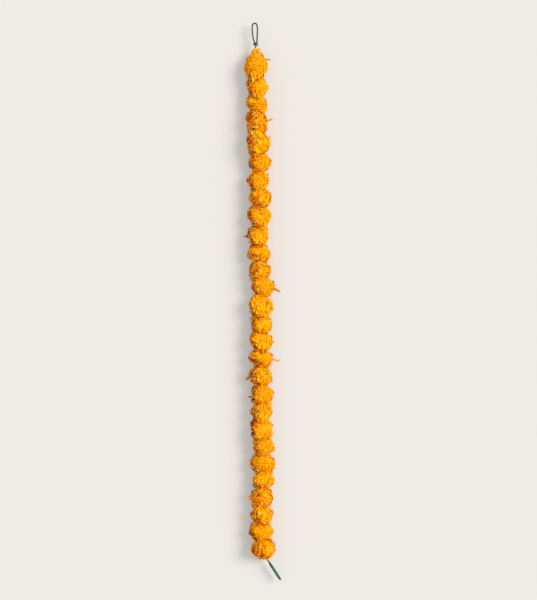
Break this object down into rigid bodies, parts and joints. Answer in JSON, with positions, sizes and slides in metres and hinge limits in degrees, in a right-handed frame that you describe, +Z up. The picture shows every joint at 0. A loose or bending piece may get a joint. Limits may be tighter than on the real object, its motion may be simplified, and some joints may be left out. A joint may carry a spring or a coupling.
{
  "type": "marigold garland",
  "caption": "Straight garland of orange marigold heads threaded tightly on a green coated wire, with a narrow wire loop at each end; built lying on a surface.",
  "frame": {"origin": "on the surface that it lies on, under the middle of the garland's overall length", "axes": "+Y along the garland towards the loop that it hangs by, +Z up from the surface, +X to the right of that"},
  "size_m": [0.0993, 1.5234, 0.065],
  "materials": {
    "petals": "soft matt petals",
    "calyx": "matt green",
    "wire": "glossy green coating"
  },
  "bodies": {
    "root": {"head_01": "petals", "head_02": "petals", "head_03": "petals", "head_04": "petals", "head_05": "petals", "head_06": "petals", "head_07": "petals", "head_08": "petals", "head_09": "petals", "head_10": "petals", "head_11": "petals", "head_12": "petals", "head_13": "petals", "head_14": "petals", "head_15": "petals", "head_16": "petals", "head_17": "petals", "head_18": "petals", "head_19": "petals", "head_20": "petals", "head_21": "petals", "head_22": "petals", "head_23": "petals", "head_24": "petals", "head_25": "petals", "head_26": "petals", "head_27": "petals", "head_28": "petals", "calyx_01": "calyx", "calyx_02": "calyx", "calyx_03": "calyx", "calyx_04": "calyx", "calyx_05": "calyx", "calyx_06": "calyx", "calyx_07": "calyx", "calyx_08": "calyx", "calyx_09": "calyx", "calyx_10": "calyx", "calyx_11": "calyx", "calyx_12": "calyx", "calyx_13": "calyx", "calyx_14": "calyx", "calyx_15": "calyx", "calyx_16": "calyx", "calyx_17": "calyx", "calyx_18": "calyx", "calyx_19": "calyx", "calyx_20": "calyx", "calyx_21": "calyx", "calyx_22": "calyx", "calyx_23": "calyx", "calyx_24": "calyx", "calyx_25": "calyx", "calyx_26": "calyx", "calyx_27": "calyx", "calyx_28": "calyx", "core_wire": "wire", "hanging_loop": "wire", "end_loop": "wire"}
  },
  "joints": []
}
